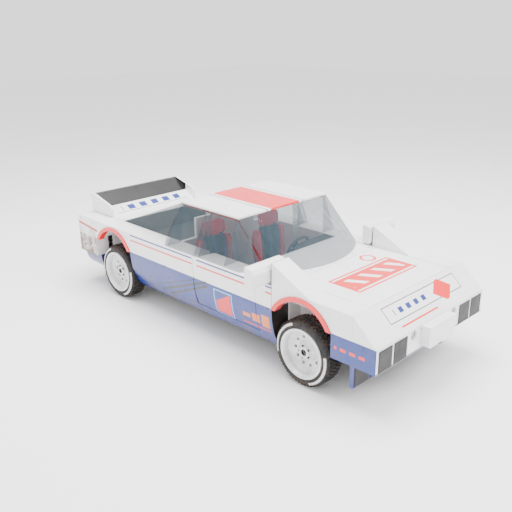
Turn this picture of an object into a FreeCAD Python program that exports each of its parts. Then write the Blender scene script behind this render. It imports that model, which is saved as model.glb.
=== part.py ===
import FreeCAD, Part
import math, os

os.makedirs("parts", exist_ok=True)
V = FreeCAD.Vector

# ---------------------------------------------------------------- dimensions
# Frame: nose towards -Y, car's left towards +X, up +Z, ground at Z = 0.
# The plan is laid out on a module of 210 mm.
HW      = 815.0     # half width of the body
Z_BELT  = 820.0     # belt line, top of doors, fenders and hood
Z_BAND  = 610.0     # bottom of the flat upper side band
Z_BUMP  = 396.0     # bottom of the bumpers
Z_BOT   = 165.0     # underside of the sills
Z_ROOF  = 1251.0    # top of the roof panel
X_IN    = 600.0     # inner face of doors and side walls
Y_NOSE  = -2099.0   # front face of the bumper
Y_BREAK = -1871.0   # where the hood turns down to the nose
Y_TAIL  = 2099.0    # rear face of the body
Y_FAX   = -1353.0   # front axle
Y_RAX   = 1364.0    # rear axle
Y_FA0, Y_FA1 = -1668.0, -1023.0   # front arch opening, front and rear edge
Y_RA0, Y_RA1 = 1070.0, 1715.0     # rear arch opening
ARCH_R, ARCH_Z = 363.0, 442.0     # arch circle above the band's lower edge
Y_DF, Y_DR = -830.0, 12.0         # door front and rear edge
ROOF_X, ROOF_Y0, ROOF_Y1 = 614.0, -423.0, 412.0
Y_CAB0, Y_CAB1 = -570.0, 466.0    # cabin opening under the windscreen / rear shelf
Y_DECK  = 1470.0    # foot of the rear window
GAP     = 5.0       # clearance round everything that opens
TYRE_R, TYRE_W, TYRE_SH = 300.0, 210.0, 45.0
RIM_R   = 223.0
KING_X  = HW - TYRE_W / 2.0
STUB_R  = 24.0
GLASS_T = 6.0
SILL_A, SILL_B = 215.0, 445.0     # quarter ellipse of the lower side

SIDES = (("r", -1), ("l", 1))


# ---------------------------------------------------------------- helpers
def box(x0, x1, y0, y1, z0, z1):
    x0, x1 = min(x0, x1), max(x0, x1)
    y0, y1 = min(y0, y1), max(y0, y1)
    z0, z1 = min(z0, z1), max(z0, z1)
    return Part.makeBox(x1 - x0, y1 - y0, z1 - z0, V(x0, y0, z0))


def prism_x(pts, x0, x1):
    """Polygon of (y, z) points pushed along X."""
    w = Part.makePolygon([V(x0, y, z) for y, z in pts] + [V(x0, pts[0][0], pts[0][1])])
    return Part.Face(w).extrude(V(x1 - x0, 0, 0))


def prism_y(pts, y0, y1):
    """Polygon of (x, z) points pushed along Y."""
    w = Part.makePolygon([V(x, y0, z) for x, z in pts] + [V(pts[0][0], y0, pts[0][1])])
    return Part.Face(w).extrude(V(0, y1 - y0, 0))


def prism_z(pts, z0, z1):
    w = Part.makePolygon([V(x, y, z0) for x, y in pts] + [V(pts[0][0], pts[0][1], z0)])
    return Part.Face(w).extrude(V(0, 0, z1 - z0))


def cyl(r, h, p, d):
    return Part.makeCylinder(r, h, V(*p), V(*d))


def fuse(*s):
    out = s[0]
    for k in s[1:]:
        out = out.fuse(k)
    return out.removeSplitter()


def cut(a, *b):
    for k in b:
        a = a.cut(k)
    return a


def mirror(s):
    return s.mirror(V(0, 0, 0), V(1, 0, 0))


def solid_from_faces(polys):
    faces = [Part.Face(Part.makePolygon([V(*p) for p in q] + [V(*q[0])])) for q in polys]
    sh = Part.Shell(faces)
    so = Part.Solid(sh)
    if so.Volume < 0:
        so.reverse()
    return so


def slab(tri, t, inward):
    """Flat pane of thickness t from its outer corners, grown towards a point."""
    a, b, c = [V(*p) for p in tri[:3]]
    n = (b - a).cross(c - a)
    n.normalize()
    if (V(*inward) - a).dot(n) < 0:
        n = n * -1
    f = Part.Face(Part.makePolygon([V(*p) for p in tri] + [V(*tri[0])]))
    return f.extrude(n * t)


PARTS = {}


def put(name, *solids):
    """Add solids to a node; a node named twice keeps all of them."""
    sols = list(PARTS[name].Solids) if name in PARTS else []
    for s in solids:
        sols += s.Solids
    PARTS[name] = sols[0] if len(sols) == 1 else Part.makeCompound(sols)


def sill_profile(z_top, z_bot, x_in):
    """(x, z) section of the lower side, outer face on the quarter ellipse; +X side."""
    pts = []
    n = 14
    for i in range(n + 1):
        z = z_top + (z_bot - z_top) * i / n
        k = max(0.0, 1 - ((Z_BAND - z) / SILL_B) ** 2)
        x = X_IN + SILL_A * math.sqrt(k)
        pts.append((max(x, x_in + 12.0), z))
    return pts


def lower_side(y0, y1, z_top, z_bot, x_in=X_IN):
    pts = sill_profile(z_top, z_bot, x_in)
    poly = [(x_in, z_top)] + pts + [(x_in, z_bot)]
    return prism_y(poly, y0, y1)


def arch_cutter(yc, x0, x1, r=ARCH_R):
    return cyl(r, x1 - x0, (x0, yc, ARCH_Z), (1, 0, 0))


YC_F = (Y_FA0 + Y_FA1) / 2.0
YC_R = (Y_RA0 + Y_RA1) / 2.0

# ---------------------------------------------------------------- floor and frame
pan = prism_z([(-455, -1860), (455, -1860), (455, -1005), (595, -1005), (595, 1030),
               (455, 1030), (455, 1900), (-455, 1900), (-455, 1030), (-595, 1030),
               (-595, -1005), (-455, -1005)], Z_BOT + 5, Z_BOT + 30)
put("floor_pan", pan)

# sills under the doors, rounded outside, with a hollow core
for tag, sg in SIDES:
    s = lower_side(Y_FA1, Y_RA0, 322, Z_BOT)
    s = cut(s, box(X_IN + 25, X_IN + 95, Y_FA1 + 40, Y_RA0 - 80, Z_BOT + 60, 300),
            cyl(TYRE_R + 9, 500, (400, Y_RAX, TYRE_R), (1, 0, 0)))
    put("sills", s if sg > 0 else mirror(s))

# ---------------------------------------------------------------- front
for tag, sg in SIDES:
    # fender: side band with its arch, rear foot behind the wheel, closing plate
    f = box(X_IN + 6, HW, Y_BREAK + 1, Y_DF - GAP, Z_BAND, Z_BELT)
    f = cut(f, box(X_IN - 1, HW - 22, Y_BREAK + 20, Y_FA1 - 12, Z_BAND - 1, Z_BELT - 20))
    f = cut(f, box(X_IN + 30, HW - 22, Y_FA1 + 12, Y_DF - 30, Z_BAND - 1, Z_BELT - 20))
    f = cut(f, arch_cutter(YC_F, HW - 60, HW + 10))
    foot = lower_side(Y_FA1, Y_DF - GAP, Z_BAND, 324)
    foot = cut(foot, box(X_IN + 30, HW - 60, Y_FA1 + 12, Y_DF - 30, 340, Z_BAND + 1))
    f = fuse(f, foot)
    # red flare round the arch, standing 12 mm proud
    fl = arch_cutter(YC_F, HW - 58, HW + 12, ARCH_R).cut(arch_cutter(YC_F, HW - 80, HW + 20, ARCH_R - 42))
    fl = fl.common(box(HW - 80, HW + 20, Y_FA0, Y_FA1, Z_BAND - 4, Z_BELT + 60))
    put("arch_flares", fl if sg > 0 else mirror(fl))
    # wheelhouse: upper wall beside the engine bay, ledge, lower wall
    w = fuse(box(X_IN - 16, X_IN - 2, Y_BREAK + 8, Y_FA1 - 2, Z_BAND + 4, Z_BELT - 36),
             box(455, X_IN - 2, Y_BREAK + 8, Y_FA1 - 2, Z_BAND + 4, Z_BAND + 18),
             box(440, 455, Y_BREAK + 8, Y_FA1 - 2, Z_BOT + 31, Z_BAND + 18),
             box(440, X_IN + 4, Y_FA1 - 14, Y_FA1 - 2, Z_BOT + 31, Z_BAND + 18))
    w = cut(w, box(439, 456, -1844, -1804, 334, 386))
    put("wheelhouses", w if sg > 0 else mirror(w))
    # wedge standing on the fender top, tall end to the rear
    wd = prism_x([(-1444, Z_BELT), (-1023, Z_BELT), (-1023, 1026)], 610, HW)
    put("front_fender_" + tag, fuse(f, wd) if sg > 0 else mirror(fuse(f, wd)))

# nose: slanting panel with closed cheeks
nose = prism_x([(Y_BREAK, Z_BELT), (Y_NOSE, Z_BAND + 2), (Y_BREAK, Z_BAND + 2)], -HW, HW)
nose = cut(nose, prism_x([(Y_BREAK - 1, Z_BELT - 40), (Y_NOSE + 60, Z_BAND + 1), (Y_BREAK - 1 + 2, Z_BAND + 1)], -HW + 30, HW - 30))
put("nose_panel", nose)

# bumper: bar across with returns back to the wheel arches, two lamp pockets
b = fuse(box(-HW, HW, Y_NOSE, Y_NOSE + 90, Z_BUMP, Z_BAND),
         box(-HW, -HW + 90, Y_NOSE + 80, Y_FA0, Z_BUMP, Z_BAND),
         box(HW - 90, HW, Y_NOSE + 80, Y_FA0, Z_BUMP, Z_BAND))
for sx in (-1, 1):
    b = cut(b, cyl(44, 60, (sx * 305, Y_NOSE - 1, 556), (0, 1, 0)))
b = cut(b, box(-240, 240, Y_NOSE + 30, Y_NOSE + 91, Z_BUMP + 30, Z_BAND - 30))
put("front_bumper", b)

# dark square panels on the bumper face
sq = []
for sx in (-1, 1):
    for a, c in ((607, 783), (403, 581)):
        sq.append(box(sx * a, sx * c, Y_NOSE - 6, Y_NOSE, 404, 588))
put("front_black_panels", *sq)

lamps = []
for sx in (-1, 1):
    lamps.append(fuse(cyl(43.5, 14, (sx * 305, Y_NOSE + 20, 556), (0, 1, 0)),
                      cyl(20, 25, (sx * 305, Y_NOSE + 34, 556), (0, 1, 0))))
put("front_lamps", *lamps)

# plate holder: raised block in the middle
ph = box(-200, 200, Y_NOSE - 80, Y_NOSE, 420, 606)
ph = ph.makeFillet(26, [e for e in ph.Edges if abs(e.BoundBox.XLength) < 1 and abs(e.BoundBox.ZLength) < 1 and e.BoundBox.ZMin < 430])
put("front_plate_holder", ph)

# lower air dam, a thin upright plate set back under the bumper, with its two brackets
dam = box(-HW, HW, -1900, -1865, 205, Z_BUMP)
dam = cut(dam, box(-330, 330, -1901, -1864, 300, Z_BUMP + 1))
put("front_air_dam", dam)
dsq = []
for sx in (-1, 1):
    for a, c in ((615, 798), (420, 595)):
        dsq.append(box(sx * a, sx * c, -1906, -1900, 214, 385))
put("front_black_panels", *dsq)

# front crossmember with two lower arms and tow eye plates
cm = fuse(box(-440, 440, -1860, -1800, 196, 330),
          box(-430, 430, Y_FAX - 60, Y_FAX + 60, 196, 236))
for sx in (-1, 1):
    cm = fuse(cm, box(sx * 640, sx * 425, -1842, -1806, 336, 384), box(sx * 380, sx * 440, -1860, -1800, 320, 384))
eye = cut(fuse(box(292, 304, -1985, -1860, 226, 290), cyl(40, 12, (292, -1985, 258), (1, 0, 0))),
          cyl(22, 14, (291, -1985, 258), (1, 0, 0)))
dam2 = cut(dam, box(286, 310, -1910, -1850, 220, 296))
PARTS["front_air_dam"] = dam2
cm = fuse(cm, eye)
put("front_crossmember", cm)

# hood lid
Y_H0, Y_H1 = -1071.0, Y_BREAK + 1 + GAP
hood = box(-X_IN + 1, X_IN - 1, Y_H0, Y_H1, Z_BELT - 22, Z_BELT)
hood = fuse(hood, box(-440, 440, Y_H1 + 60, Y_H1 + 110, Z_BELT - 44, Z_BELT - 22),
            box(-60, 60, Y_H1 + 110, Y_H0 - 90, Z_BELT - 44, Z_BELT - 22))
put("hood", hood)

# cowl between hood and cabin, and bulkhead under it
cowl = fuse(box(-X_IN + 3, X_IN - 3, Y_H0 + GAP, Y_CAB0, Z_BELT - 26, Z_BELT),
            box(-X_IN + 18, X_IN - 18, Y_H0 + GAP, Y_H0 + GAP + 22, 660, Z_BELT - 26))
put("cowl", cowl)
fw = fuse(box(-X_IN + 3, X_IN - 3, -1017, -995, Z_BOT + 30, 628),
          box(-X_IN + 18, X_IN - 18, -1017, -995, 628, 640),
          box(-X_IN + 18, X_IN - 18, -1066, -995, 640, 660))
put("bulkheads", fw)

# engine: a plain block at its place, with the gearbox behind it
eng = fuse(box(-210, 210, -1640, -1120, 300, 720))
put("engine_block", eng)

# ---------------------------------------------------------------- doors
for tag, sg in SIDES:
    plan_up = [(X_IN, Y_DF), (HW, Y_DF), (HW, Y_DR), (X_IN, Y_DR - 68)]
    d = prism_z(plan_up, Z_BAND, Z_BELT)
    low = lower_side(Y_DF, Y_DR, Z_BAND, 330).common(prism_z(plan_up, 320, Z_BAND))
    d = fuse(d, low)
    # storage pocket on the inside
    d = cut(d, box(X_IN - 1, X_IN + 90, Y_DF + 200, Y_DR - 260, 430, 560))
    put("door_" + tag, d if sg > 0 else mirror(d))

# ---------------------------------------------------------------- rear quarters
for tag, sg in SIDES:
    q = prism_z([(X_IN, Y_DR + GAP), (HW, Y_DR + GAP), (HW, Y_TAIL), (X_IN, Y_TAIL)], Z_BAND, Z_BELT)
    q = cut(q, arch_cutter(YC_R, X_IN - 1, HW + 10))
    q = fuse(q, cut(lower_side(Y_DR + GAP, Y_RA0, Z_BAND, 324),
                    cyl(TYRE_R + 9, 500, (400, Y_RAX, TYRE_R), (1, 0, 0))))
    q = fuse(q, box(X_IN + 60, HW, Y_RA1 + 33, Y_TAIL, Z_BUMP, Z_BAND))
    q = cut(q, box(X_IN - 1, HW - 30, Y_RA1 + 80, Y_TAIL - 30, Z_BUMP - 1, Z_BELT - 30))
    q = cut(q, box(X_IN + 25, HW - 60, Y_DR + 60, Y_RA0 - 40, 360, Z_BELT - 30))
    put("rear_quarter_" + tag, q if sg > 0 else mirror(q))
    fl = arch_cutter(YC_R, HW - 58, HW + 12, ARCH_R).cut(arch_cutter(YC_R, HW - 80, HW + 20, ARCH_R - 42))
    fl = fl.common(box(HW - 80, HW + 20, Y_RA0, Y_RA1, Z_BAND - 4, Z_BELT + 60))
    put("arch_flares", fl if sg > 0 else mirror(fl))
    w = fuse(box(455, X_IN - 2, 1036, 1755, Z_BAND + 4, Z_BAND + 18),
             box(X_IN - 16, X_IN - 2, 1036, 1755, Z_BAND + 4, Z_BELT - 30),
             box(440, 455, 1036, 1755, Z_BOT + 31, Z_BAND + 18),
             box(440, X_IN - 2, 1036, 1048, Z_BOT + 31, Z_BAND + 18),
             box(440, X_IN - 2, 1743, 1755, 400, Z_BAND + 18))
    w = cut(w, box(430, 470, Y_RAX - 60, Y_RAX + 60, Z_BOT + 30, 400))
    put("wheelhouses", w if sg > 0 else mirror(w))

# tail: panel between the quarters, lamps, lower bumper, rounded valance
tail = box(-X_IN + 1, X_IN - 1, Y_TAIL - 40, Y_TAIL - 6, Z_BAND + 2, Z_BELT - 30)
tail = cut(tail, box(-200, 200, Y_TAIL - 20, Y_TAIL, 640, 760))
put("tail_panel", tail)
tl = []
for sx in (-1, 1):
    tl.append(box(sx * 250, sx * 575, Y_TAIL - 6, Y_TAIL + 6, 655, 760))
put("tail_lamps", *tl)


rb = box(-X_IN - 58, X_IN + 58, Y_TAIL - 90, Y_TAIL, Z_BUMP + 2, Z_BAND - 2)
rb = cut(rb, box(-X_IN - 40, X_IN + 40, Y_TAIL - 91, Y_TAIL - 25, Z_BUMP + 20, Z_BAND - 20))
put("rear_bumper", rb)

val = []
vp = [(-560, Z_BUMP)]
prof = []
for i in range(13):
    t = math.radians(90.0 * i / 12)
    prof.append((560 + 200 * math.cos(t), Z_BUMP - 231 * math.sin(t)))
poly = [(-x, z) for x, z in reversed(prof)] + prof
v = prism_y(poly, Y_RA1 + 45, Y_TAIL - 8)
v = cut(v, box(-540, 540, Y_RA1 + 44, Y_TAIL - 40, Z_BOT + 29, Z_BUMP + 1))
v = cut(v, cyl(46, 80, (-330, Y_TAIL - 60, 262), (0, 1, 0)), box(-460, 460, Y_RA1 + 40, 1906, 160, 200))
v = cut(v, box(430, 460, Y_TAIL - 60, Y_TAIL, 214, 300))
put("rear_valance", v)

# exhaust: silencer and tail pipe
ex = fuse(cyl(30, 240, (-330, Y_TAIL - 160, 262), (0, 1, 0)), cyl(60, 200, (-330, Y_TAIL - 360, 262), (0, 1, 0)))
ex = cut(ex, cyl(24, 200, (-330, Y_TAIL - 110, 262), (0, 1, 0)))
put("exhaust", ex)

# rear tow eye, bolted to a rear crossmember
rc = box(300, 520, 1840, 1965, Z_BOT + 30, 225)
rte = cut(fuse(box(438, 450, 1960, 2125, 226, 290), cyl(40, 12, (438, 2125, 258), (1, 0, 0))),
          cyl(22, 14, (437, 2125, 258), (1, 0, 0)))
put("rear_crossmember", fuse(rc, box(430, 460, 1930, 1965, 200, 290), rte))

# ---------------------------------------------------------------- rear lid and wing
Y_L0 = Y_DECK + 18
lid = box(-X_IN + GAP, X_IN - GAP, Y_L0, Y_TAIL - 2, Z_BELT - 22, Z_BELT)
put("rear_lid", lid)
wing = prism_x([(1700, Z_BELT), (1712, Z_BELT + 14), (1860, 912), (2060, 1028), (2094, 1030),
                (2094, Z_BELT)], -590, 590)
wing = cut(wing, prism_x([(1790, Z_BELT - 1), (2055, 985), (2070, 985), (2070, Z_BELT - 1)], -560, 560))
eps = [wing]
for sx in (-1, 1):
    e = prism_x([(1690, Z_BELT + 6), (1690, 910), (1704, 936), (1730, 952), (2040, 1034), (2097, 1034), (2097, Z_BELT + 6)],
                sx * 589, sx * 618)
    eps.append(e)
put("rear_wing", fuse(*eps))

# rear shelf and inner bay
put("rear_floor", fuse(box(-X_IN + 3, X_IN - 3, Y_CAB1, 1030, 598, 612), box(-438, 438, 1030, Y_DECK, 598, 612)))
bh = fuse(box(-X_IN + 3, X_IN - 3, Y_CAB1 - 30, Y_CAB1, Z_BOT + 30, 598),
          box(-411, 411, Y_CAB1 - 30, Y_CAB1, 598, 1025),
          box(-X_IN + 3, X_IN - 3, Y_CAB1 - 30, Y_CAB1, 598, Z_BELT))
put("bulkheads", bh)
deckf = fuse(box(-X_IN + 1, X_IN - 1, Y_DECK + 1, Y_L0 - GAP, 794, Z_BELT),
             box(-582, 582, Y_DECK + 1, Y_L0 - GAP, 630, 794),
             box(-437, 437, Y_DECK + 1, Y_L0 - GAP, 420, 630),
             box(-437, 437, Y_DECK + 1, 2050, 420, 432))
put("rear_floor", deckf)

# ---------------------------------------------------------------- roof and glass
put("roof_panel", box(-ROOF_X, ROOF_X, ROOF_Y0, ROOF_Y1, Z_ROOF - 20, Z_ROOF))
rr = []
for sx in (-1, 1):
    rr.append(box(sx * 575, sx * 600, ROOF_Y0 + 36, ROOF_Y1 - 6, Z_ROOF - 46, Z_ROOF - 20))
put("roof_rails", *rr)

zt = Z_ROOF - 20.0      # glass meets the underside edge of the roof
zb = Z_BELT

def hull_shell(outer_faces, t, inward):
    out = None
    for q in outer_faces:
        s = slab(q, t, inward)
        out = s if out is None else out.fuse(s)
    return out

# windscreen: straight along the roof, bowed at its foot
W_TOP_Y = ROOF_Y0 - 0.0
arc = []
NW = 12
for i in range(NW + 1):
    x = -620.0 + 1240.0 * i / NW
    y = -816.0 - 228.0 * (1 - (x / 620.0) ** 2) ** 0.9
    arc.append((x, y))
top = [(-612.0 + 1224.0 * i / NW, ROOF_Y0 + 2.0) for i in range(NW + 1)]
faces = []
def W(i, which, off):
    if which == "t":
        return (top[i][0], top[i][1] + off * 0.9, zt)
    return (arc[i][0], arc[i][1] + off, zb)
T = 8.0
polys = []
for i in range(NW):
    a, b2, c2, d2 = W(i, "t", 0), W(i + 1, "t", 0), W(i + 1, "b", 0), W(i, "b", 0)
    polys += [[a, b2, c2], [a, c2, d2]]
    a, b2, c2, d2 = W(i, "t", T), W(i + 1, "t", T), W(i + 1, "b", T), W(i, "b", T)
    polys += [[a, c2, b2], [a, d2, c2]]
    polys += [[W(i, "t", 0), W(i, "t", T), W(i + 1, "t", T), W(i + 1, "t", 0)]]
    polys += [[W(i, "b", 0), W(i + 1, "b", 0), W(i + 1, "b", T), W(i, "b", T)]]
for i in (0, NW):
    polys.append([W(i, "t", 0), W(i, "b", 0), W(i, "b", T), W(i, "t", T)])
ws = solid_from_faces(polys)
put("windscreen", ws)

def side_plane_x(z, off=0.0):
    return 614.0 + (Z_ROOF - z) * (800.0 - 614.0) / (Z_ROOF - Z_BELT) + off

XB = side_plane_x(zb)
inward = (0, 0, 700)
for tag, sg in SIDES:
    ztg = zt - 6.0
    zbg = zb + 0.0
    xt, xb = side_plane_x(ztg), side_plane_x(zbg)
    # door glass: long pane plus the triangle that turns the corner to the windscreen
    pane = slab([(xt, ROOF_Y0 + 14, ztg), (xt, Y_DR - 3, ztg), (xb, Y_DR - 3, zbg), (xb, -602, zbg)], GLASS_T, inward)
    corner = slab([(xt, ROOF_Y0 + 14, ztg), (xb, -602, zbg), (634, -806, zbg)], GLASS_T, inward)
    g = pane.fuse(corner)
    for yy in (-398, -40):
        web = prism_y([(xt - 6, ztg), (xb - 6, zbg), (X_IN + 12, zbg), (X_IN + 2, ztg)], yy, yy + 5)
        g = g.fuse(web)
    g = cut(g, box(500, 900, -900, 100, zb - 40, zb))
    g = g.removeSplitter()
    put("door_glass_" + tag, g if sg > 0 else mirror(g))
    # fixed quarter glass behind the door
    zq = zt
    xq = side_plane_x(zq)
    pane = slab([(xq, Y_DR + GAP + 3, zq), (xq, ROOF_Y1 - 9, zq), (xb, 449, zbg), (xb, Y_DR + GAP + 3, zbg)], GLASS_T, inward)
    g = pane
    for yt, yb in ((Y_DR + GAP + 12, Y_DR + GAP + 12), (392, 434)):
        q4 = [V(xq - 4 + 0.45 * 28, yt, zq - 28), V(xb - 4, yb, zbg), V(X_IN + 12, yb, zbg), V(X_IN + 2, yt, zq - 28)]
        g = g.fuse(Part.Face(Part.makePolygon(q4 + [q4[0]])).extrude(V(0, 5, 0)))
    g = cut(g, box(500, 900, -900, 1700, zb - 40, zb))
    put("quarter_glass", g if sg > 0 else mirror(g))

# rear window: long sloping pane, its two upright sides and corner facets
zq = zt
def rear_hull(k, dy, dz):
    """Closed body under the rear window's facets, drawn in by k and moved by dy, dz."""
    m = lambda x, y, z: V(x * k, y + dy, z + dz)
    t = {s: m(s * 612, ROOF_Y1 - 2, zq) for s in (-1, 1)}
    b1 = {s: m(s * 598, Y_DECK, zb) for s in (-1, 1)}
    b2 = {s: m(s * 606, 690, zb) for s in (-1, 1)}
    b3 = {s: m(s * XB, 462, zb) for s in (-1, 1)}
    loops = [[t[-1], t[1], b1[1], b1[-1]], [t[-1], t[1], b3[1], b3[-1]],
             [b3[-1], b3[1], b2[1], b1[1], b1[-1], b2[-1]]]
    for s in (-1, 1):
        loops += [[t[s], b2[s], b1[s]], [t[s], b3[s], b2[s]]]
    f = [Part.Face(Part.makePolygon(q + [q[0]])) for q in loops]
    return Part.Solid(Part.Shell(f))


h0, h1 = rear_hull(1.0, 0, 0), rear_hull(0.993, -3, -5)
for h in (h0, h1):
    if h.Volume < 0:
        h.reverse()
rw = h0.cut(h1)
put("rear_window", rw)

# ---------------------------------------------------------------- cabin
dash = box(-X_IN + 3, X_IN - 3, Y_CAB0 - 300, Y_CAB0 - 1, 662, Z_BELT - 27)
hoodp = prism_z([(-175, Y_CAB0 - 3), (-60, -556), (130, -456), (250, -432), (X_IN - 3, -432), (X_IN - 3, Y_CAB0 - 3)],
                758, Z_BELT - 27)
hoodp2 = prism_z([(-175, Y_CAB0 + 0.5), (-60, -556), (130, -456), (250, -432), (X_IN - 3, -432), (X_IN - 3, Y_CAB0 + 0.5)],
                 758, Z_BELT - 3)
dash = fuse(dash, hoodp, hoodp2)

# steering wheel on its column
SWX, SWY, SWZ, TILT = 265.0, -350.0, 725.0, math.radians(25)
SW_R, SW_T = 140.0, 13.0
ax = V(0, -math.cos(TILT), -math.sin(TILT))
swc = V(SWX, SWY, SWZ)
sw = Part.makeTorus(SW_R, SW_T, swc, ax)
sw = sw.fuse(Part.makeCylinder(36, 34, swc - ax * 17, ax))
in_up = V(0, -math.sin(TILT), math.cos(TILT))
for d in (V(1, 0, 0), V(-1, 0, 0), in_up * -1):
    sw = sw.fuse(Part.makeCylinder(9, SW_R - 1, swc, d))
put("steering_wheel", sw)
col = Part.makeCylinder(19, 262, swc + ax * 22, ax)
dash = dash.fuse(col)
put("dashboard", dash)

# two bucket seats: pan cushion, back with head section, and the frame under them
SEATS = ((225.0, -48.0), (-386.0, 112.0))
for cx, yf in SEATS:
    put("seat_cushions", box(cx - 195, cx + 195, yf - 400, yf - 4, 402, 500))
    back = prism_x([(yf, 506), (yf + 32, 905), (yf + 132, 905), (yf + 110, 506)], cx - 205, cx + 205)
    head = prism_x([(yf + 32, 904), (yf + 42, 1062), (yf + 118, 1062), (yf + 131, 904)], cx - 134, cx + 134)
    put("seat_backs", fuse(back, head))
    fr = fuse(box(cx - 198, cx + 198, yf - 390, yf + 120, 300, 400),
              box(cx - 160, cx - 110, yf - 360, yf + 100, Z_BOT + 30, 300),
              box(cx + 110, cx + 160, yf - 360, yf + 100, Z_BOT + 30, 300))
    put("seat_frames", fr)

# ---------------------------------------------------------------- mirrors
for tag, sg in SIDES:
    m = prism_x([(-1012, 862), (-1012, 962), (-985, 1000), (-950, 1012), (-905, 1012), (-905, 832), (-985, 832)], 604, 1017)
    m = m.makeFillet(14, [e for e in m.Edges if e.BoundBox.XMin > 1016 and e.BoundBox.XLength < 1 and e.BoundBox.YMin < -906])
    m = cut(m, box(826, 1003, -913, -900, 852, 996))
    glass = box(830, 999, -911, -908, 856, 992)
    foot = box(640, 700, -990, -920, Z_BELT, 832)
    m = fuse(m, foot)
    put("mirrors", m if sg > 0 else mirror(m))
mg = []
for sx in (-1, 1):
    mg.append(box(sx * 829, sx * 1000, -913, -909, 855, 993))
put("mirror_glass", *mg)

# ---------------------------------------------------------------- wheels and axles
def tyre(cx, cy):
    ro, w, sh, ri = TYRE_R, TYRE_W / 2.0, TYRE_SH, RIM_R - 12
    def P(x, r):
        return V(x, 0, r)
    s = math.sqrt(0.5)
    e = []
    b, ra, rb_ = w - 21.0, RIM_R + 2.0, RIM_R + 22.0
    for k in (1, -1):
        seg = [Part.LineSegment(P(k * b, ri), P(k * b, ra)).toShape(),
               Part.Arc(P(k * b, ra), P(k * (w - 7), ra + 5), P(k * w, rb_)).toShape(),
               Part.LineSegment(P(k * w, rb_), P(k * w, ro - sh)).toShape(),
               Part.Arc(P(k * w, ro - sh), P(k * (w - sh + sh * s), ro - sh + sh * s), P(k * (w - sh), ro)).toShape()]
        e.append(seg)
    e = [Part.LineSegment(P(-b, ri), P(b, ri)).toShape()] + e[0] + \
        [Part.LineSegment(P(w - sh, ro), P(-w + sh, ro)).toShape()] + e[1][::-1]
    f = Part.Face(Part.Wire(e))
    t = f.revolve(V(0, 0, 0), V(1, 0, 0), 360)
    t = Part.Solid(t.Shells[0]) if t.ShapeType != "Solid" else t
    t.translate(V(cx, cy, TYRE_R))
    return t


def rim(cx, cy, sg):
    """Deep dish rim; sg is the outboard direction."""
    w = TYRE_W / 2.0
    prof = [(-w + 2, RIM_R), (-w + 2, RIM_R - 26), (-w + 30, RIM_R - 34), (w - 70, RIM_R - 34),
            (w - 84, 150), (w - 104, 92), (w - 70, 60), (w - 40, 52), (w - 40, STUB_R + 0.05),
            (w - 150, STUB_R + 0.05), (w - 150, 60), (w - 122, 92), (w - 100, 150), (w - 92, RIM_R - 50), (-w + 24, RIM_R - 50),
            ]
    outer = [(-w + 2, RIM_R), (-w + 14, RIM_R), (-w + 20, RIM_R - 12.3), (w - 20, RIM_R - 12.3), (w - 14, RIM_R), (w - 2, RIM_R),
             (w - 2, RIM_R - 20), (w - 24, RIM_R - 32), (w - 62, RIM_R - 34), (w - 84, 150), (w - 96, 96), (w - 72, 62),
             (w - 44, 50), (w - 44, STUB_R + 0.05), (w - 150, STUB_R + 0.05), (w - 150, 66), (w - 116, 96),
             (w - 104, 150), (w - 82, RIM_R - 46), (-w + 26, RIM_R - 46), (-w + 2, RIM_R - 24)]
    pts = [V(sg * x, 0, r) for x, r in outer]
    f = Part.Face(Part.makePolygon(pts + [pts[0]]))
    s = f.revolve(V(0, 0, 0), V(1, 0, 0), 360)
    s = Part.Solid(s.Shells[0]) if s.ShapeType != "Solid" else s
    # ring of slots in the disc
    for k in range(10):
        a = 2 * math.pi * k / 10
        h = cyl(15, 80, (sg * (w - 130), 128 * math.cos(a), 128 * math.sin(a)), (sg, 0, 0))
        s = s.cut(h)
    s.translate(V(cx, cy, TYRE_R))
    return s


for tag, sg in SIDES:
    for end, yy in (("f", Y_FAX), ("r", Y_RAX)):
        put("tyre_" + end + tag, tyre(sg * KING_X, yy))
        put("rim_" + end + tag, rim(sg * KING_X, yy, sg))

# steering knuckles: stub axle and upright with kingpin bosses
for tag, sg in SIDES:
    w = TYRE_W / 2.0
    x_in = sg * (KING_X - w - 20)
    st = cyl(STUB_R, 146 , (sg * (KING_X - w - 8), Y_FAX, TYRE_R), (sg, 0, 0))
    up = box(sg * (KING_X - w - 44), sg * (KING_X - w - 8), Y_FAX - 45, Y_FAX + 45, 246, 470)
    bl = box(sg * (KING_X - w - 44), sg * (KING_X - 16), Y_FAX - 30, Y_FAX + 30, 246, 262)
    k = fuse(up, st)
    put("knuckle_" + tag, k)

# lower and upper arms fixed to the frame, ending short of the uprights
arms = []
for tag, sg in SIDES:
    a1 = prism_z([(sg * 456, Y_FAX - 110), (sg * 456, Y_FAX + 110), (sg * 545, Y_FAX + 14), (sg * 545, Y_FAX - 14)], 212, 236)
    arms.append(a1)
put("front_crossmember", *arms)

# rear axle: tube with stub ends
ax, ex = KING_X - TYRE_W / 2.0 - 12, KING_X - TYRE_W / 2.0 + 136
prof = [(-ex, 0), (-ex, STUB_R), (-ax, STUB_R), (-ax, 42), (-150, 42), (-70, 66), (-50, 74),
        (50, 74), (70, 66), (150, 42), (ax, 42), (ax, STUB_R), (ex, STUB_R), (ex, 0)]
w = Part.makePolygon([V(x, Y_RAX, TYRE_R + r) for x, r in prof + [prof[0]]])
ra = Part.Face(w).revolve(V(0, Y_RAX, TYRE_R), V(1, 0, 0), 360)
put("rear_axle", ra)

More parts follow.
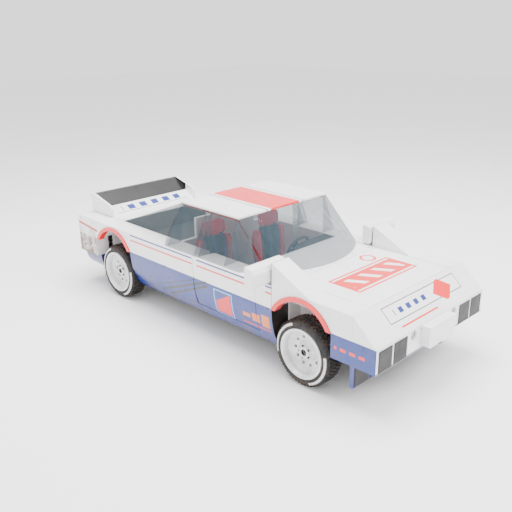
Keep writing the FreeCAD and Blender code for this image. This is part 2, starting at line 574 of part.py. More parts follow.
# ---------------------------------------------------------------- write
tot = 0
for n, s in sorted(PARTS.items()):
    ok = s.isValid() and all(k.isClosed() for k in s.Shells)
    v = sum(abs(k.Volume) for k in s.Solids)
    tot += v
    bb = s.BoundBox
    print("%-24s %2d solid(s) valid=%s vol=%.1f l  x[%.0f %.0f] y[%.0f %.0f] z[%.0f %.0f]" %
          (n, len(s.Solids), ok, v / 1e6, bb.XMin, bb.XMax, bb.YMin, bb.YMax, bb.ZMin, bb.ZMax))
    s.exportStep("parts/" + n + ".step")
print("nodes", len(PARTS), "volume m3 %.3f" % (tot / 1e9))
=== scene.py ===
import bpy, bmesh, math
from mathutils import Matrix, Vector

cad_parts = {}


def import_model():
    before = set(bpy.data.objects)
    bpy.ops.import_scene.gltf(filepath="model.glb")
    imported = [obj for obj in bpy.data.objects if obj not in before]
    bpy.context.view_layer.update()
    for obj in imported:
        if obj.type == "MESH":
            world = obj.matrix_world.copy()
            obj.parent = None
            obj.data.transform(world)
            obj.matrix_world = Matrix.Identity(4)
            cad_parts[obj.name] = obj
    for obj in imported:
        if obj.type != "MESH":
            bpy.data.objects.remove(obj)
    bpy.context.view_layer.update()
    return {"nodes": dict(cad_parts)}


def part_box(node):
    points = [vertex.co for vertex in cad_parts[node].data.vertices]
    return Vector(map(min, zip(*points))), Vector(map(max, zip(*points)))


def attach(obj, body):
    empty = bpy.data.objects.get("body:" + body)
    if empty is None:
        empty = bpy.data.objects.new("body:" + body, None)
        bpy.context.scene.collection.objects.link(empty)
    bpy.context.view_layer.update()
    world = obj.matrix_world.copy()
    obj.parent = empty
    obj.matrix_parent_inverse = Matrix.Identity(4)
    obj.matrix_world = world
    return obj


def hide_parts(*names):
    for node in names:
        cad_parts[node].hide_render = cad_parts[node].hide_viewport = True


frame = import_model()
N = frame["nodes"]
COL = bpy.context.scene.collection
KX, FA, RA, TR = 0.710, -1.353, 1.364, 0.300


# ------------------------------------------------------------ node helpers
class Net:
    def __init__(self, name):
        self.mat = bpy.data.materials.new(name)
        self.mat.use_nodes = True
        self.nt = self.mat.node_tree
        self.bsdf = next(n for n in self.nt.nodes if n.type == "BSDF_PRINCIPLED")
        self.tc = self.nt.nodes.new("ShaderNodeTexCoord")
        sep = self.nt.nodes.new("ShaderNodeSeparateXYZ")
        self.link(self.tc.outputs["Object"], sep.inputs[0])
        self.x, self.y, self.z = sep.outputs[0], sep.outputs[1], sep.outputs[2]
        self.ax = self.m("ABSOLUTE", self.x)

    def link(self, a, b):
        self.nt.links.new(a, b)

    def put(self, v, sock):
        if hasattr(v, "is_output"):
            self.link(v, sock)
        else:
            sock.default_value = v

    def m(self, op, a, b=None, c=None, clamp=False):
        n = self.nt.nodes.new("ShaderNodeMath")
        n.operation = op
        n.use_clamp = clamp
        for i, v in enumerate((a, b, c)):
            if v is not None:
                self.put(v, n.inputs[i])
        return n.outputs[0]

    def band(self, v, lo, hi):
        return self.m("MULTIPLY", self.m("GREATER_THAN", v, lo), self.m("LESS_THAN", v, hi))

    def all(self, *ms):
        r = ms[0]
        for k in ms[1:]:
            r = self.m("MULTIPLY", r, k)
        return r

    def any(self, *ms):
        r = ms[0]
        for k in ms[1:]:
            r = self.m("MAXIMUM", r, k)
        return r

    def line(self, u, v, p, q, half):
        """Mask of a straight stripe through p and q in the (u, v) plane, ending at both."""
        du, dv = q[0] - p[0], q[1] - p[1]
        L = math.hypot(du, dv)
        du, dv = du / L, dv / L
        uu, vv = self.m("SUBTRACT", u, p[0]), self.m("SUBTRACT", v, p[1])
        s = self.m("ADD", self.m("MULTIPLY", uu, du), self.m("MULTIPLY", vv, dv))
        t = self.m("ABSOLUTE", self.m("SUBTRACT", self.m("MULTIPLY", uu, dv), self.m("MULTIPLY", vv, du)))
        return self.all(self.m("LESS_THAN", t, half), self.band(s, 0.0, L))

    def noise(self, scale, detail=4.0, rough=0.55):
        n = self.nt.nodes.new("ShaderNodeTexNoise")
        n.inputs["Scale"].default_value = scale
        n.inputs["Detail"].default_value = detail
        n.inputs["Roughness"].default_value = rough
        self.link(self.tc.outputs["Object"], n.inputs["Vector"])
        return n.outputs[0]

    def mix(self, fac, a, b):
        n = self.nt.nodes.new("ShaderNodeMix")
        n.data_type = "RGBA"
        self.put(fac, n.inputs[0])
        for v, s in ((a, n.inputs[6]), (b, n.inputs[7])):
            if hasattr(v, "is_output"):
                self.link(v, s)
            else:
                s.default_value = (*v, 1.0)
        return n.outputs[2]

    def ramp(self, v, lo, hi):
        n = self.nt.nodes.new("ShaderNodeMapRange")
        self.put(v, n.inputs[0])
        n.inputs[1].default_value, n.inputs[2].default_value = lo, hi
        n.inputs[3].default_value, n.inputs[4].default_value = 0.0, 1.0
        n.clamp = True
        return n.outputs[0]

    def rough(self, lo, hi, scale=9.0):
        n = self.nt.nodes.new("ShaderNodeMapRange")
        self.put(self.noise(scale), n.inputs[0])
        n.inputs[1].default_value, n.inputs[2].default_value = 0.3, 0.7
        n.inputs[3].default_value, n.inputs[4].default_value = lo, hi
        self.link(n.outputs[0], self.bsdf.inputs["Roughness"])

    def bump(self, height, strength=0.1, dist=0.001):
        b = self.nt.nodes.new("ShaderNodeBump")
        b.inputs["Strength"].default_value = strength
        b.inputs["Distance"].default_value = dist
        self.link(height, b.inputs["Height"])
        self.link(b.outputs[0], self.bsdf.inputs["Normal"])

    def set(self, **kw):
        for k, v in kw.items():
            self.bsdf.inputs[k.replace("_", " ")].default_value = v


WHITE, BLUE, RED, BLACK = (0.90, 0.90, 0.90), (0.002, 0.026, 0.22), (0.85, 0.003, 0.004), (0.006, 0.006, 0.007)
ORANGE, SKY, MUD = (0.75, 0.16, 0.01), (0.22, 0.42, 0.75), (0.16, 0.085, 0.035)


def paint(name, base, marks=(), blue_side=None, dirt=1.0, coat=0.6):
    n = Net(name)
    col = n.mix(n.ramp(n.noise(3.0), 0.35, 0.75), base, tuple(c * 0.93 for c in base))
    if blue_side is not None:
        side = n.all(n.m("GREATER_THAN", n.ax, blue_side), n.m("LESS_THAN", n.z, 0.610), n.m("LESS_THAN", n.y, 1.748))
        col = n.mix(side, col, BLUE)
    for f, c in marks:
        col = n.mix(f(n), col, c)
    # dust and dried mud, thickest low down, broken up by noise
    low = n.ramp(n.z, 0.62, 0.12)
    mud = n.m("MULTIPLY", low, n.ramp(n.noise(7.0, 8.0, 0.7), 0.47, 0.66), clamp=True)
    mud = n.m("MULTIPLY", mud, 0.55 * dirt, clamp=True)
    col = n.mix(mud, col, MUD)
    film = n.m("MULTIPLY", n.ramp(n.noise(1.7, 6.0), 0.45, 0.8), 0.05 * dirt)
    col = n.mix(film, col, (0.35, 0.31, 0.26))
    n.link(col, n.bsdf.inputs["Base Color"])
    n.rough(0.26, 0.42)
    n.set(Coat_Weight=coat, Coat_Roughness=0.12, Specular_IOR_Level=0.45)
    n.bump(n.noise(420.0, 2.0), 0.06, 0.0006)
    return n.mat


def side_marks():
    ms = []
    runs = ((-1.025, -0.948), (-0.835, -0.038), (0.030, 1.055))

    def pin(z0, z1):
        return lambda n: n.all(n.any(*[n.band(n.y, a, b) for a, b in runs]), n.band(n.z, z0, z1), n.m("GREATER_THAN", n.ax, 0.80))
    ms.append((pin(0.792, 0.808), BLUE))
    ms.append((pin(0.737, 0.753), RED))
    out = lambda n: n.m("GREATER_THAN", n.ax, 0.60)
    for p, q, h in (((0.671, 0.347), (-0.010, 0.595), 0.005), ((0.606, 0.305), (-0.172, 0.610), 0.011), ((0.489, 0.284), (-0.184, 0.573), 0.011)):
        ms.append((lambda n, p=p, q=q, h=h: n.all(n.line(n.y, n.z, p, q, h), out(n)), BLACK))
    # door panel: a pale frame round a plain red wedge
    ms.append((lambda n: n.all(n.band(n.y, -0.521, -0.270), n.band(n.z, 0.325, 0.583), out(n)), SKY))
    ms.append((lambda n: n.all(n.band(n.y, -0.508, -0.283), n.band(n.z, 0.338, 0.570), out(n)), BLUE))
    ms.append((lambda n: n.all(n.band(n.y, -0.495, -0.296), n.m("GREATER_THAN", n.z, 0.352), n.m("LESS_THAN", n.m("ADD", n.z, n.m("MULTIPLY", n.y, 0.55)), 0.300), out(n)), RED))
    # front of the door and fender foot: three plain orange bars that step down
    for k in range(3):
        y0 = -0.985 + 0.118 * k
        ms.append((lambda n, y0=y0, k=k: n.all(n.band(n.y, y0, y0 + 0.095), n.band(n.z, 0.395 + 0.018 * k, 0.515 - 0.022 * k), out(n)), ORANGE))
    ms.append((lambda n: n.all(n.band(n.y, -0.994, -0.647), n.band(n.z, 0.362, 0.374), out(n)), RED))
    # quarter strip
    def strip(off0, off1):
        def f(n):
            c = n.m("SUBTRACT", n.z, n.m("ADD", n.m("MULTIPLY", n.m("SUBTRACT", n.y, 2.092), 0.0992), 0.739))
            return n.all(n.band(c, off0, off1), n.band(n.y, 1.709, 2.092), n.m("GREATER_THAN", n.ax, 0.80))
        return f
    ms.append((strip(-0.002, 0.014), RED))
    ms.append((strip(-0.014, -0.002), BLACK))
    return ms


SIDE = side_marks()
# flat black band across the rear closing face inside each front wheel arch, above z 0.1
inner_arch = (lambda n: n.all(n.band(n.y, -1.026, -1.0215), n.m("GREATER_THAN", n.z, 0.1)), BLACK)
m_fender = paint("paint_fender", WHITE, SIDE + [inner_arch], blue_side=0.60)
RUST = [(lambda n: n.all(n.m("GREATER_THAN", n.y, 1.748), n.band(n.z, 0.39, 0.612), n.m("GREATER_THAN", n.ax, 0.60), n.ramp(n.m("ADD", n.noise(6.0, 9.0, 0.75), n.m("MULTIPLY", n.noise(28.0, 5.0), 0.25)), 0.50, 0.66)), (0.13, 0.060, 0.022)),
        (lambda n: n.all(n.m("GREATER_THAN", n.y, 1.748), n.band(n.z, 0.39, 0.70), n.m("GREATER_THAN", n.ax, 0.60), n.ramp(n.noise(4.0, 6.0), 0.42, 0.75)), (0.42, 0.33, 0.24))]
m_side = paint("paint_side", WHITE, SIDE + RUST[::-1], blue_side=0.60)
m_white = paint("paint_white", WHITE)
m_bumper = paint("paint_bumper", WHITE, [
    (lambda n: n.all(n.m("GREATER_THAN", n.ax, 0.812), n.m("LESS_THAN", n.z, 0.609)), BLUE),
    (lambda n: n.all(n.m("GREATER_THAN", n.ax, 0.812), n.band(n.z, 0.485, 0.512), n.band(n.m("FRACT", n.m("MULTIPLY", n.y, 11.0)), 0.0, 0.62), n.band(n.y, -2.031, -1.703)), RED),
    (lambda n: n.all(n.m("LESS_THAN", n.y, -2.0985), n.band(n.z, 0.398, 0.410)), BLUE)])
m_blue = paint("paint_blue", BLUE, SIDE[2:], dirt=1.5)
m_red = paint("paint_red", RED, dirt=0.8)
m_dark_red = paint("paint_rail", (0.22, 0.004, 0.006), dirt=0.3)


def ring(n, u, v, cu, cv, r0, r1):
    a = n.m("POWER", n.m("SUBTRACT", u, cu), 2.0)
    b = n.m("POWER", n.m("SUBTRACT", v, cv), 2.0)
    return n.band(n.m("SQRT", n.m("ADD", a, b)), r0, r1)


m_hood = paint("paint_hood", WHITE, [
    (lambda n: n.all(n.band(n.x, -0.418, 0.440), n.band(n.y, -1.642, -1.300)), RED),
    (lambda n: n.all(n.band(n.x, -0.395, 0.417), n.band(n.y, -1.620, -1.600)), WHITE),
    (lambda n: n.all(n.band(n.x, -0.395, 0.417), n.band(n.y, -1.342, -1.322)), WHITE),
    (lambda n: n.all(n.band(n.m("FRACT", n.m("MULTIPLY", n.m("ADD", n.x, n.m("MULTIPLY", n.y, 0.6)), 5.2)), 0.0, 0.34), n.band(n.x, -0.36, 0.38), n.band(n.y, -1.550, -1.392)), WHITE),
    (lambda n: ring(n, n.x, n.y, 0.30, -1.195, 0.055, 0.080), RED)], dirt=0.6)
m_nose = paint("paint_nose", WHITE, [
    (lambda n: n.all(n.band(n.x, -0.510, 0.570), n.band(n.z, 0.688, 0.789), n.m("GREATER_THAN", n.y, -2.09)), BLACK),
    (lambda n: n.all(n.band(n.x, -0.502, 0.562), n.band(n.z, 0.693, 0.784), n.m("GREATER_THAN", n.y, -2.09)), WHITE),
    (lambda n: n.all(n.band(n.x, -0.416, 0.115), n.band(n.z, 0.647, 0.657)), RED),
    (lambda n: n.all(n.band(n.x, -0.40, 0.10), n.band(n.z, 0.722, 0.755), n.band(n.m("FRACT", n.m("MULTIPLY", n.x, 9.0)), 0.0, 0.5)), BLUE),
    (lambda n: n.all(n.m("LESS_THAN", n.m("ADD", n.m("MULTIPLY", n.m("ABSOLUTE", n.m("SUBTRACT", n.x, 0.309)), 0.55), n.m("ABSOLUTE", n.m("SUBTRACT", n.z, 0.731))), 0.078), n.band(n.z, 0.665, 0.797)), RED)], dirt=0.6)
m_roof = paint("paint_roof", WHITE, [
    (lambda n: n.m("LESS_THAN", n.ax, 0.200), RED),
    (lambda n: n.band(n.ax, 0.243, 0.257), BLUE)], dirt=0.4)
m_wing = paint("paint_wing", WHITE, [
    (lambda n: n.all(n.m("GREATER_THAN", n.y, 1.850), n.m("LESS_THAN", n.ax, 0.590), n.m("GREATER_THAN", n.z, 0.80)), BLACK),
    (lambda n: n.all(n.band(n.y, 1.745, 1.815), n.m("LESS_THAN", n.ax, 0.42), n.band(n.m("FRACT", n.m("MULTIPLY", n.x, 6.0)), 0.0, 0.55)), BLUE),
    (lambda n: n.all(n.band(n.y, 1.722, 1.729), n.m("LESS_THAN", n.ax, 0.52)), BLACK)], dirt=0.4)
m_tail = paint("paint_tail", WHITE, dirt=1.0)


def plain(name, base, alt, lo, hi, metal=0.0, scale=14.0, bs=300.0, strength=0.15, mudk=0.3, **kw):
    n = Net(name)
    col = n.mix(n.ramp(n.noise(scale), 0.35, 0.7), base, alt)
    mud = n.m("MULTIPLY", n.all(n.ramp(n.z, 0.60, 0.12), n.ramp(n.noise(9.0, 8.0, 0.7), 0.45, 0.68)), mudk, clamp=True)
    n.link(n.mix(mud, col, MUD), n.bsdf.inputs["Base Color"])
    n.rough(lo, hi)
    n.set(Metallic=metal, **kw)
    n.bump(n.noise(bs, 3.0), strength, 0.0008)
    return n.mat


m_black = plain("trim_black", (0.010, 0.010, 0.011), (0.022, 0.022, 0.023), 0.45, 0.62)
m_under = plain("underbody", (0.045, 0.045, 0.048), (0.09, 0.085, 0.08), 0.6, 0.85, 0.2, mudk=0.7)
m_steel = plain("steel_parts", (0.10, 0.10, 0.105), (0.17, 0.15, 0.14), 0.4, 0.65, 0.8, mudk=0.6)
m_cast = plain("engine_cast", (0.20, 0.20, 0.21), (0.30, 0.30, 0.31), 0.45, 0.7, 0.8)
m_exh = plain("exhaust_steel", (0.36, 0.34, 0.31), (0.22, 0.17, 0.13), 0.25, 0.45, 1.0)
m_rim = plain("rim_white", (0.78, 0.78, 0.79), (0.66, 0.66, 0.67), 0.25, 0.4, 0.1, mudk=0.35, Coat_Weight=0.4)
m_nut = plain("wheel_nut", (0.05, 0.05, 0.055), (0.12, 0.12, 0.12), 0.3, 0.5, 0.8)
m_seal = plain("rubber_seal", (0.012, 0.012, 0.012), (0.025, 0.025, 0.025), 0.6, 0.8)
m_leather = plain("wheel_leather", (0.015, 0.014, 0.014), (0.030, 0.028, 0.027), 0.45, 0.6, bs=900.0, strength=0.4)
m_mirror = plain("mirror_face", (0.75, 0.77, 0.80), (0.70, 0.72, 0.75), 0.03, 0.07, 1.0, strength=0.01, mudk=0.0)


def glassy(name, col, alpha, rough=0.04, trans=0.0):
    n = Net(name)
    n.link(n.mix(n.ramp(n.noise(5.0), 0.4, 0.8), col, tuple(c * 0.85 for c in col)), n.bsdf.inputs["Base Color"])
    n.rough(rough, rough + 0.05, 6.0)
    n.set(Alpha=alpha, Specular_IOR_Level=0.5, Transmission_Weight=trans)
    n.bump(n.noise(2.2, 1.0), 0.02, 0.0006)
    return n.mat


m_glass = glassy("glass_tinted", (0.055, 0.090, 0.115), 0.27)
m_lens = glassy("lamp_lens", (0.80, 0.84, 0.88), 0.45)
m_taillens = glassy("lamp_red_lens", (0.45, 0.006, 0.008), 1.0, 0.12)

ASSIGN = {}
for k, v in (
    (m_fender, "front_fender_l front_fender_r"), (m_side, "door_l door_r rear_quarter_l rear_quarter_r"),
    (m_blue, "sills rear_valance front_air_dam"), (m_red, "arch_flares"), (m_dark_red, "roof_rails"),
    (m_hood, "hood"), (m_nose, "nose_panel"), (m_bumper, "front_bumper"), (m_roof, "roof_panel"), (m_wing, "rear_wing"),
    (m_tail, "tail_panel rear_bumper"), (m_white, "cowl front_plate_holder rear_lid mirrors bulkheads wheelhouses"),
    (m_black, "front_black_panels dashboard seat_frames"), (m_under, "floor_pan rear_floor"),
    (m_steel, "front_crossmember rear_crossmember rear_axle knuckle_l knuckle_r"), (m_cast, "engine_block"),
    (m_exh, "exhaust"), (m_lens, "front_lamps"), (m_taillens, "tail_lamps"), (m_mirror, "mirror_glass"),
    (m_glass, "windscreen door_glass_l door_glass_r quarter_glass rear_window"), (m_leather, "steering_wheel"),
    (m_rim, "rim_fl rim_fr rim_rl rim_rr"), (m_seal, "tyre_fl tyre_fr tyre_rl tyre_rr seat_cushions seat_backs")):
    for nm in v.split():
        ASSIGN[nm] = k
for nm, o in N.items():
    mat = ASSIGN[nm]
    if not o.material_slots:
        o.data.materials.append(mat)
    for s in o.material_slots:
        s.material = mat

for nm in ("hood", "door_l", "door_r", "front_bumper", "nose_panel", "rear_lid", "roof_panel", "cowl",
           "front_plate_holder", "mirrors", "rear_bumper", "rear_wing", "front_black_panels", "dashboard"):
    w = N[nm].modifiers.new("weld", "WELD")
    w.merge_threshold = 0.00005
    b = N[nm].modifiers.new("edge", "BEVEL")
    b.width = 0.0025
    b.segments = 2
    b.limit_method = "ANGLE"
    b.angle_limit = math.radians(35)
    b.use_clamp_overlap = True


# ------------------------------------------------------------ mesh helpers
def obj(name, bm, mats, body, smooth=True, replaces=()):
    bmesh.ops.recalc_face_normals(bm, faces=bm.faces[:])
    me = bpy.data.meshes.new(name)
    bm.to_mesh(me)
    bm.free()
    for m in (mats if isinstance(mats, (list, tuple)) else [mats]):
        me.materials.append(m)
    for p in me.polygons:
        p.use_smooth = smooth
    o = bpy.data.objects.new(name, me)
    COL.objects.link(o)
    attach(o, body)
    if replaces:
        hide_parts(*replaces)
    return o


def lathe_x(bm, prof, cx, cy, cz, seg=96, closed=False, mi=0):
    """Turns (x, r) points about the X axis through (cy, cz)."""
    rows = []
    for k in range(seg):
        a = 2 * math.pi * k / seg
        rows.append([bm.verts.new((cx + x, cy + r * math.cos(a), cz + r * math.sin(a))) for x, r in prof])
    n = len(prof)
    for k in range(seg):
        A, B = rows[k], rows[(k + 1) % seg]
        for i in range(n if closed else n - 1):
            f = bm.faces.new((A[i], A[(i + 1) % n], B[(i + 1) % n], B[i]))
            f.material_index = mi


def block(bm, M, sx, sy, sz, taper=0.86, mi=0):
    """A block with a narrower top face, placed by the matrix M."""
    lo = [bm.verts.new(M @ Vector((a * sx, b * sy, 0))) for a, b in ((-1, -1), (1, -1), (1, 1), (-1, 1))]
    mid = [bm.verts.new(M @ Vector((a * sx, b * sy, sz * 0.8))) for a, b in ((-1, -1), (1, -1), (1, 1), (-1, 1))]
    hi = [bm.verts.new(M @ Vector((a * sx * taper, b * sy * taper, sz))) for a, b in ((-1, -1), (1, -1), (1, 1), (-1, 1))]
    for P, Q in ((lo, mid), (mid, hi)):
        for i in range(4):
            bm.faces.new((P[i], P[(i + 1) % 4], Q[(i + 1) % 4], Q[i])).material_index = mi
    bm.faces.new(hi).material_index = mi
    bm.faces.new(lo[::-1]).material_index = mi


# ------------------------------------------------------------ tyres and wheels
def tyre_mat(name, cy, sx):
    n = Net(name)
    col = n.mix(n.ramp(n.noise(30.0), 0.35, 0.7), (0.010, 0.010, 0.011), (0.020, 0.019, 0.018))
    dy, dz = n.m("SUBTRACT", n.y, cy), n.m("SUBTRACT", n.z, TR)
    r = n.m("SQRT", n.m("ADD", n.m("MULTIPLY", dy, dy), n.m("MULTIPLY", dz, dz)))
    ang = n.m("ARCTAN2", dz, dy)
    arcs = n.m("GREATER_THAN", n.m("SINE", n.m("ADD", n.m("MULTIPLY", ang, 2.0), 0.6)), 0.15)
    outer = n.m("GREATER_THAN", n.m("MULTIPLY", n.x, sx), 0.78)
    col = n.mix(n.all(n.band(r, 0.252, 0.273), arcs, outer), col, (0.72, 0.72, 0.72))
    dust = n.m("MULTIPLY", n.ramp(n.noise(12.0, 8.0, 0.7), 0.45, 0.7), 0.28)
    n.link(n.mix(dust, col, MUD), n.bsdf.inputs["Base Color"])
    n.rough(0.62, 0.85, 20.0)
    n.bump(n.noise(260.0, 3.0), 0.25, 0.001)
    return n.mat


for tag, sx, cy in (("fr", -1, FA), ("fl", 1, FA), ("rr", -1, RA), ("rl", 1, RA)):
    lo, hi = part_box("tyre_" + tag)
    cx = (lo[0] + hi[0]) / 2
    hw = (hi[0] - lo[0]) / 2 - 0.0005
    bm = bmesh.new()
    half = [(0.0, 0.2915), (hw * 0.46, 0.2912), (hw * 0.52, 0.2885), (hw * 0.60, 0.2905), (hw * 0.80, 0.284),
            (hw * 0.92, 0.272), (hw * 0.985, 0.255), (hw * 0.99, 0.240), (hw * 0.95, 0.229), (hw * 0.90, 0.2255), (hw * 0.80, 0.2245)]
    prof = [(-x, r) for x, r in half[::-1]] + half[1:]
    lathe_x(bm, prof, cx, cy, TR, 96, closed=True)
    rows = ((-0.066, 0.013), (-0.033, 0.012), (0.0, 0.012), (0.033, 0.012), (0.066, 0.013))
    for j, (xo, sw) in enumerate(rows):
        cnt = 52
        for k in range(cnt):
            a = 2 * math.pi * (k + 0.5 * (j % 2)) / cnt
            up = Vector((0, math.cos(a), math.sin(a)))
            tang = Vector((0, -math.sin(a), math.cos(a)))
            M = Matrix.Translation(Vector((cx + xo, cy, TR)) + up * 0.286) @ Matrix(((1, 0, 0, 0), (0, tang.y, up.y, 0), (0, tang.z, up.z, 0), (0, 0, 0, 1)))
            M = M @ Matrix.Rotation(0.30 * (1 if j < 2 else -1 if j > 2 else 0), 4, "Z")
            block(bm, M, sw, 0.0125, 0.0132 if abs(xo) < 0.05 else 0.0105)
    obj("tyre_detail_" + tag, bm, tyre_mat("tyre_" + tag, cy, sx), "wheel_" + tag, smooth=False, replaces=("tyre_" + tag,))
    # nuts on the wheel disc and a centre hub ring
    rl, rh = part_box("rim_" + tag)
    bm = bmesh.new()
    for k in range(5):
        a = 2 * math.pi * k / 5
        lathe_x(bm, [(0.0, 0.0005), (0.0, 0.011), (0.010, 0.011), (0.013, 0.008), (0.013, 0.0005)],
                0.0, 0.055 * math.cos(a), 0.055 * math.sin(a), 6)
    lathe_x(bm, [(0.0, 0.020), (0.0, 0.034), (0.012, 0.032), (0.016, 0.026), (0.016, 0.020)], 0, 0, 0, 32, closed=True)
    xin = cx + sx * 0.012
    dg = bpy.context.evaluated_depsgraph_get()
    hit, loc, _, _ = N["rim_" + tag].ray_cast(Vector((cx + sx * 0.3, cy + 0.055, TR)), Vector((-sx, 0, 0)))
    if hit:
        xin = loc.x - sx * 0.001
    for v in bm.verts:
        v.co = Vector((xin + sx * v.co.x, cy + v.co.y, TR + v.co.z))
    obj("wheel_nuts_" + tag, bm, m_nut, "wheel_" + tag, smooth=False)


# ------------------------------------------------------------ seats
def cloth(name, base, alt, quilt=0.0):
    n = Net(name)
    n.link(n.mix(n.ramp(n.noise(40.0), 0.35, 0.7), base, alt), n.bsdf.inputs["Base Color"])
    w = n.m("MULTIPLY", n.m("SINE", n.m("MULTIPLY", n.x, 2600.0)), n.m("SINE", n.m("MULTIPLY", n.m("ADD", n.y, n.z), 2600.0)))
    n.rough(0.75, 0.92, 60.0)
    n.bump(n.m("ADD", w, n.noise(200.0)), 0.35, 0.0012)
    n.set(Sheen_Weight=0.3)
    return n.mat


m_red_cloth = cloth("cloth_red", (0.80, 0.030, 0.038), (0.66, 0.022, 0.028))
m_dark_cloth = cloth("cloth_dark", (0.004, 0.022, 0.026), (0.008, 0.034, 0.040))


def pad(bm, c, h, crown, ax=2, mi=0, chan=0, pinch=0.08, seg=14):
    """A crowned closed cushion: half sizes h, its soft face along axis ax, with sewn channels across it."""
    g = {}
    other = [i for i in range(3) if i != ax]

    def vert(ix):
        if ix in g:
            return g[ix]
        t = [2.0 * i / seg - 1 for i in ix]
        q = []
        for i in range(3):
            o = [t[j] for j in range(3) if j != i]
            q.append(t[i] * math.sqrt(max(0.0, 1 - 0.22 * o[0] ** 6 - 0.22 * o[1] ** 6)) * (1 - 0.10 * abs(o[0] * o[1]) ** 6))
        u, v = t[other[0]], t[other[1]]
        p = [q[i] * h[i] for i in range(3)]
        side = (1 - t[ax] ** 2)
        for i in other:
            p[i] *= 1 - pinch * 0.25 * side * (1 - abs(t[other[1] if i == other[0] else other[0]]))
        if t[ax] > 0.99:
            p[ax] += crown * (1 - u * u) * (1 - v * v) - crown
            if chan:
                w = abs(math.sin(math.pi * chan * (v + 1) / 2.0))
                p[ax] -= 0.008 * (1 - w) ** 3 * (1 - abs(u) ** 8)
        g[ix] = bm.verts.new([c[i] + p[i] for i in range(3)])
        return g[ix]

    for a in range(3):
        b1, b2 = [i for i in range(3) if i != a]
        for s in (0, seg):
            for i in range(seg):
                for j in range(seg):
                    q = []
                    for di, dj in ((0, 0), (1, 0), (1, 1), (0, 1)):
                        ix = [0, 0, 0]
                        ix[a], ix[b1], ix[b2] = s, i + di, j + dj
                        q.append(vert(tuple(ix)))
                    bm.faces.new(q).material_index = mi


cush, back = bmesh.new(), bmesh.new()
strap = bmesh.new()
for cx, yf in ((0.225, -0.048), (-0.386, 0.112)):
    y0, y1 = yf - 0.400, yf - 0.004
    cy, hy = (y0 + y1) / 2, (y1 - y0) / 2
    pad(cush, (cx, cy, 0.440), (0.128, hy - 0.004, 0.050), 0.016, 2, 1, chan=5, seg=20)
    for s in (-1, 1):
        pad(cush, (cx + s * 0.160, cy, 0.450), (0.035, hy, 0.056), 0.018, 2, 0)
    # back: worked upright, then leant back as the frame is
    tmp = bmesh.new()
    pad(tmp, (0, 0, 0.205), (0.128, 0.050, 0.200), 0.014, 1, 1, chan=6, seg=20)
    for s in (-1, 1):
        pad(tmp, (s * 0.168, -0.002, 0.190), (0.036, 0.054, 0.180), 0.020, 1, 0)
    pad(tmp, (0, 0.010, 0.470), (0.128, 0.042, 0.076), 0.016, 1, 0, chan=0)
    lean = math.atan2(0.029, 0.399)
    mp = {}
    for v in tmp.verts:
        y, z = -v.co.y, v.co.z
        mp[v.index if False else v] = back.verts.new((cx + v.co.x, yf + 0.053 + y * 0.95 + z * math.sin(lean), 0.508 + z * math.cos(lean)))
    for f in tmp.faces:
        back.faces.new([mp[v] for v in f.verts]).material_index = f.material_index
    tmp.free()
    # harness: two shoulder straps running down to the seat, as thin woven bands
    for s in (-1, 1):
        pts = [(cx + s * 0.062, yf + 0.075, 0.925), (cx + s * 0.062, yf + 0.020, 0.905), (cx + s * 0.064, yf - 0.012, 0.80), (cx + s * 0.052, yf - 0.024, 0.66), (cx + s * 0.030, yf - 0.040, 0.545)]
        prev = None
        for i, p in enumerate(pts):
            ring4 = [strap.verts.new((p[0] + a * 0.022, p[1] + b * 0.0016, p[2] + b * 0.0006)) for a, b in ((-1, -1), (1, -1), (1, 1), (-1, 1))]
            if prev:
                for k in range(4):
                    strap.faces.new((prev[k], prev[(k + 1) % 4], ring4[(k + 1) % 4], ring4[k]))
            else:
                strap.faces.new(ring4)
            prev = ring4
        strap.faces.new(prev[::-1])
m_web = cloth("webbing", (0.02, 0.03, 0.10), (0.03, 0.045, 0.14))
for nm, bm, rep in (("seat_pads", cush, "seat_cushions"), ("seat_back_pads", back, "seat_backs")):
    o = obj(nm, bm, [m_red_cloth, m_dark_cloth], "body", replaces=(rep,))
    sub = o.modifiers.new("soft", "SUBSURF")
    sub.levels = sub.render_levels = 1
obj("harness_straps", strap, m_web, "body", smooth=False)

# ------------------------------------------------------------ lamps
bm, bz = bmesh.new(), bmesh.new()
for s in (-1, 1):
    seg = 40
    # bowl and bezel turned about Y
    for target, prof in ((bm, [(-2.056, 0.0405), (-2.048, 0.030), (-2.043, 0.012), (-2.052, 0.010), (-2.056, 0.004)]),
                         (bz, [(-2.0785, 0.0425), (-2.0810, 0.044), (-2.0835, 0.047), (-2.0835, 0.052), (-2.079, 0.053)])):
        rows = []
        for k in range(seg):
            a = 2 * math.pi * k / seg
            rows.append([target.verts.new((s * 0.305 + r * math.cos(a), y, 0.556 + r * math.sin(a))) for y, r in prof])
        for k in range(seg):
            A, B = rows[k], rows[(k + 1) % seg]
            for i in range(len(prof) - 1):
                target.faces.new((A[i], A[i + 1], B[i + 1], B[i]))
obj("lamp_bowls", bm, m_mirror, "body")
obj("lamp_bezels", bz, m_seal, "body")

# ------------------------------------------------------------ small joined trim
bm = bmesh.new()


def stud(p, axis, r=0.007, h=0.003):
    z = Vector(axis).normalized()
    x = z.orthogonal().normalized()
    y = z.cross(x)
    M = Matrix.Translation(Vector(p)) @ Matrix(((x.x, y.x, z.x, 0), (x.y, y.y, z.y, 0), (x.z, y.z, z.z, 0), (0, 0, 0, 1)))
    prev = None
    for hh, rr in ((-0.001, r), (h * 0.6, r), (h, r * 0.6)):
        cur = [bm.verts.new(M @ Vector((rr * math.cos(2 * math.pi * k / 10), rr * math.sin(2 * math.pi * k / 10), hh))) for k in range(10)]
        if prev:
            for k in range(10):
                bm.faces.new((prev[k], prev[(k + 1) % 10], cur[(k + 1) % 10], cur[k]))
        prev = cur
    bm.faces.new(prev)


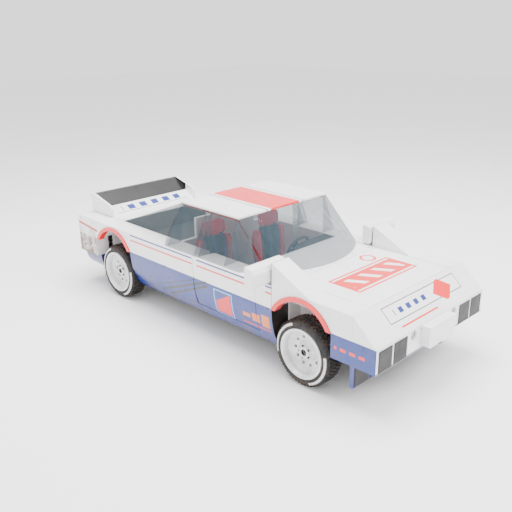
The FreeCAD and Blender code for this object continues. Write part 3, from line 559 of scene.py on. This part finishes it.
for s in (-1, 1):
    for x in (0.20, 0.56):
        stud((s * x, -2.099, 0.58), (0, -1, 0))
    for y in (-1.69, -1.98):
        stud((s * 0.815, y, 0.585), (s, 0, 0))
    for y in (1.80, 2.05):
        stud((s * 0.815, y, 0.785), (s, 0, 0))
    for x in (0.30, 0.55):
        stud((s * x, -1.02, 0.820), (0, 0, 1))
obj("panel_studs", bm, m_steel, "body")

# ------------------------------------------------------------ floor, light, camera
bm = bmesh.new()
g = 40
vs = [[bm.verts.new((-30 + 60 * i / g, -30 + 60 * j / g, 0.0)) for j in range(g + 1)] for i in range(g + 1)]
for i in range(g):
    for j in range(g):
        bm.faces.new((vs[i][j], vs[i + 1][j], vs[i + 1][j + 1], vs[i][j + 1]))
me = bpy.data.meshes.new("studio_floor")
bm.to_mesh(me)
bm.free()
fl = bpy.data.objects.new("studio_floor", me)
COL.objects.link(fl)
n = Net("floor")
n.link(n.mix(n.ramp(n.noise(0.8), 0.3, 0.8), (0.97, 0.97, 0.97), (0.95, 0.95, 0.95)), n.bsdf.inputs["Base Color"])
n.rough(0.75, 0.9)
me.materials.append(n.mat)


def area(name, loc, to, size, power):
    d = bpy.data.lights.new(name, "AREA")
    d.shape = "DISK"
    d.size = size
    d.energy = power
    o = bpy.data.objects.new(name, d)
    COL.objects.link(o)
    o.location = loc
    o.rotation_euler = (Vector(to) - Vector(loc)).to_track_quat("-Z", "Y").to_euler()


area("key", (2.5, -6.5, 7.5), (0, 0, 0.5), 5.0, 760)
area("top", (0.0, 0.5, 8.0), (0, 0, 0.5), 7.0, 1500)
area("side", (-8.5, 1.0, 4.0), (0, 0, 0.5), 5.0, 90)
w = bpy.data.worlds.new("studio")
w.use_nodes = True
w.node_tree.nodes["Background"].inputs[0].default_value = (1.0, 1.0, 1.0, 1.0)
w.node_tree.nodes["Background"].inputs[1].default_value = 1.7
bpy.context.scene.world = w

cam = bpy.data.cameras.new("camera")
cam.lens = 45.38
cam.sensor_width = 36.0
cam.clip_end = 200.0
co = bpy.data.objects.new("camera", cam)
COL.objects.link(co)
F = Vector((0.65908707, 0.67054395, -0.34055109))
R = Vector((0.71085255, -0.70328334, -0.00901091))
U = Vector((0.24554612, 0.23614264, 0.94018283))
R = (R - F * R.dot(F)).normalized()
U = R.cross(F).normalized()
co.matrix_world = Matrix(((R.x, U.x, -F.x, -4.40472), (R.y, U.y, -F.y, -4.49464), (R.z, U.z, -F.z, 2.89671), (0, 0, 0, 1)))
bpy.context.scene.camera = co

bpy.context.view_layer.update()
